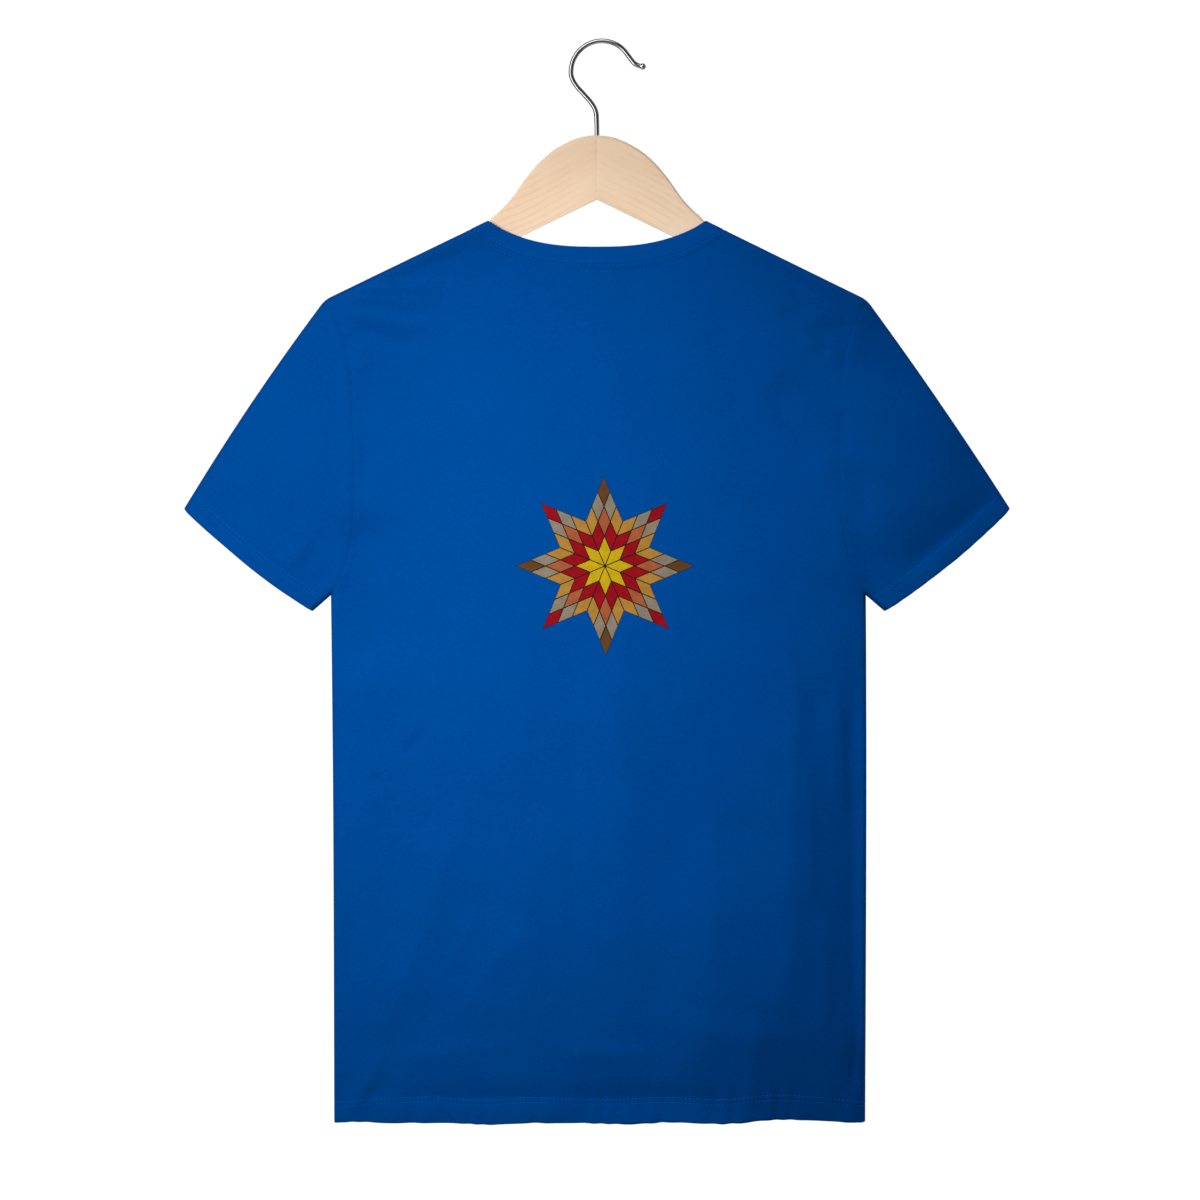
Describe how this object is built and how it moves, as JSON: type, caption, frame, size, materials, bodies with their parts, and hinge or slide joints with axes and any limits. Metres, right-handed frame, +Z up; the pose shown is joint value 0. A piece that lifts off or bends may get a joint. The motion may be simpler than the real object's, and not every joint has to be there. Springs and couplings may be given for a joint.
{
  "type": "sports t-shirt on hanger",
  "caption": "Short-sleeved crew-neck sports t-shirt hung on a flat wooden hanger with a steel hook, shown from the back.",
  "frame": {"origin": "the inside top of the hook, on the line of the hook's shank and in the middle plane of the wire, where a rail or wall hook holds the hanger up", "axes": "+Z up along the hook's shank; the shirt's back faces -Y and its front faces +Y; +X towards the shirt's right sleeve, which is on the right when looking along +Y"},
  "size_m": [0.6608, 0.0628, 0.8676],
  "materials": {
    "jersey": "matt cotton jersey, fine slubby knit",
    "rib": "matt fine rib knit",
    "thread": "slightly glossy sewing thread",
    "print_ink": "matt screen print in crimson, gold, bronze, grey, yellow and black",
    "wood": "clear satin lacquer on pale straight-grained wood",
    "steel": "polished"
  },
  "bodies": {
    "root": {"back": "jersey", "front": "jersey", "sleeve_left": "jersey", "sleeve_right": "jersey", "neckband": "rib", "hanger_left": "wood", "hanger_right": "wood", "hook": "steel"}
  },
  "joints": []
}
